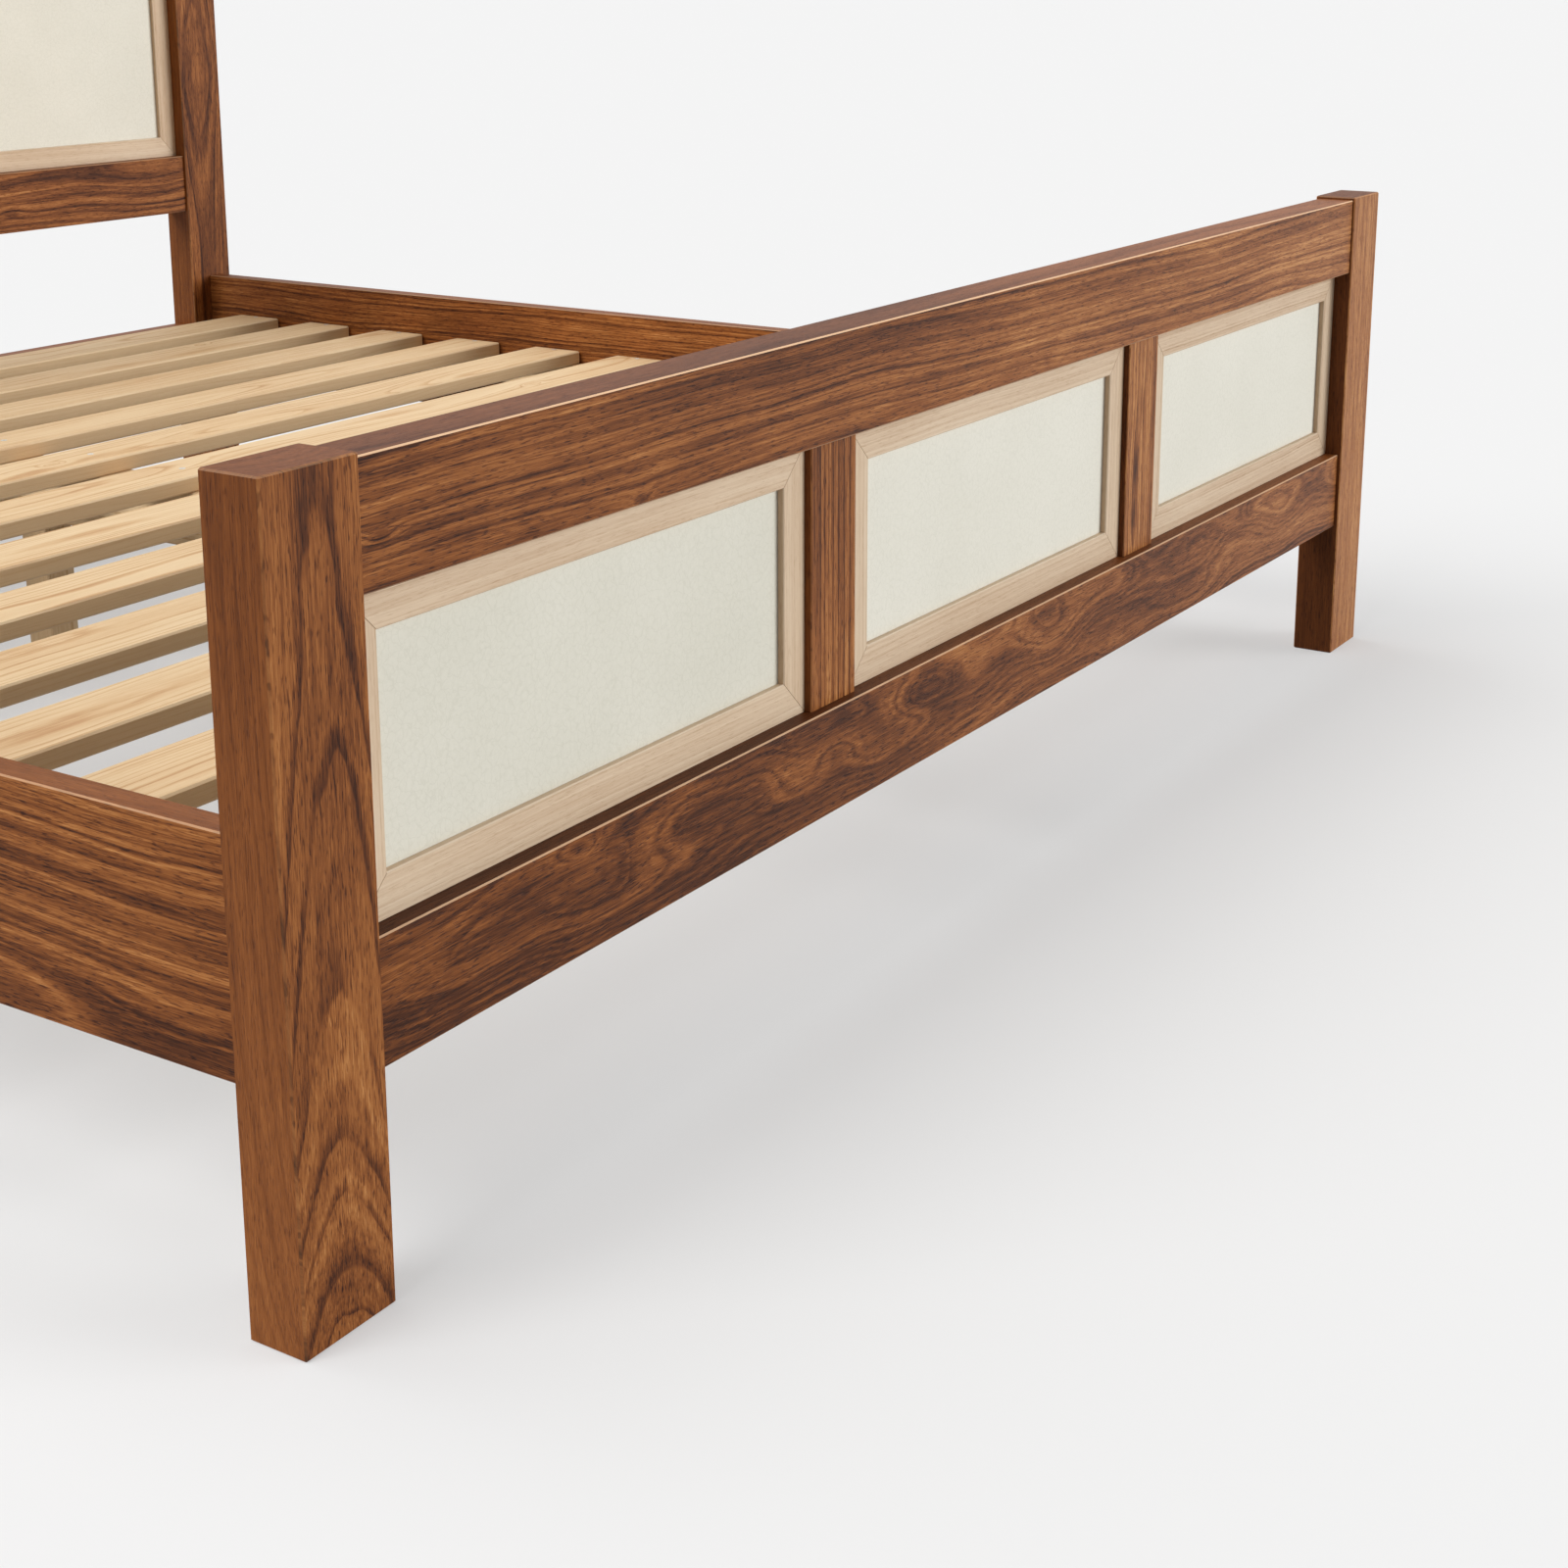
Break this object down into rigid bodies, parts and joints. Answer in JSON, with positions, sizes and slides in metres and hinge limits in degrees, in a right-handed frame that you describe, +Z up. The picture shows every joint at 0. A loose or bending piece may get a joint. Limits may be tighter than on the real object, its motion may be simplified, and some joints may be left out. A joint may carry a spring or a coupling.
{
  "type": "platform bed",
  "caption": "Walnut platform bed: panelled footboard and headboard on square posts, side rails, and a slatted deck on ledgers and a propped centre beam.",
  "frame": {"origin": "on the floor under the middle of the bed's overall box", "axes": "+Z up, +Y from the footboard to the headboard, +X to the right seen from the foot"},
  "size_m": [2.04, 2.148, 1.12],
  "materials": {
    "walnut": "walnut veneer with bold grain, satin lacquer",
    "pale_oak": "pale oak, matt lacquer",
    "cream_panel": "board faced with cream fibrous cloth, matt",
    "pine": "planed pine, unlacquered",
    "coated_steel": "black powder coat",
    "zinc_steel": "zinc plated",
    "black_plastic": "moulded, matt, on a zinc plated stud"
  },
  "bodies": {
    "bed_frame": {"foot_post_left": "walnut", "foot_post_right": "walnut", "foot_top_rail": "walnut", "foot_bottom_rail": "walnut", "foot_mullion_left": "walnut", "foot_mullion_right": "walnut", "foot_frame_left": "pale_oak", "foot_frame_centre": "pale_oak", "foot_frame_right": "pale_oak", "foot_panel_left": "cream_panel", "foot_panel_centre": "cream_panel", "foot_panel_right": "cream_panel", "head_post_left": "walnut", "head_post_right": "walnut", "head_top_rail": "walnut", "head_middle_rail": "walnut", "head_bottom_rail": "walnut", "head_mullion_left": "walnut", "head_mullion_right": "walnut", "head_frame_left": "pale_oak", "head_frame_centre": "pale_oak", "head_frame_right": "pale_oak", "head_panel_left": "cream_panel", "head_panel_centre": "cream_panel", "head_panel_right": "cream_panel", "side_rail_left": "walnut", "side_rail_right": "walnut", "slat_ledger_left": "pine", "slat_ledger_right": "pine", "slat_01": "pine", "slat_02": "pine", "slat_03": "pine", "slat_04": "pine", "slat_05": "pine", "slat_06": "pine", "slat_07": "pine", "slat_08": "pine", "slat_09": "pine", "slat_10": "pine", "slat_11": "pine", "slat_12": "pine", "rail_bracket_foot_left": "coated_steel", "rail_bracket_foot_right": "coated_steel", "rail_bracket_head_left": "coated_steel", "rail_bracket_head_right": "coated_steel", "bracket_bolt_foot_left_lower": "zinc_steel", "bracket_bolt_foot_left_upper": "zinc_steel", "bracket_bolt_foot_right_lower": "zinc_steel", "bracket_bolt_foot_right_upper": "zinc_steel", "bracket_bolt_head_left_lower": "zinc_steel", "bracket_bolt_head_left_upper": "zinc_steel", "bracket_bolt_head_right_lower": "zinc_steel", "bracket_bolt_head_right_upper": "zinc_steel", "centre_beam": "pine", "beam_hanger_foot": "coated_steel", "beam_hanger_head": "coated_steel", "centre_leg_foot": "pine", "centre_leg_head": "pine"},
    "foot_leveller": {"levelling_foot_foot": "black_plastic"},
    "head_leveller": {"levelling_foot_head": "black_plastic"}
  },
  "joints": [
    {"name": "foot_leveller_screw", "type": "slide", "parent": "bed_frame", "child": "foot_leveller", "axis": [0, 0, -1], "range_m": [0, 0.015]},
    {"name": "head_leveller_screw", "type": "slide", "parent": "bed_frame", "child": "head_leveller", "axis": [0, 0, -1], "range_m": [0, 0.015]}
  ]
}
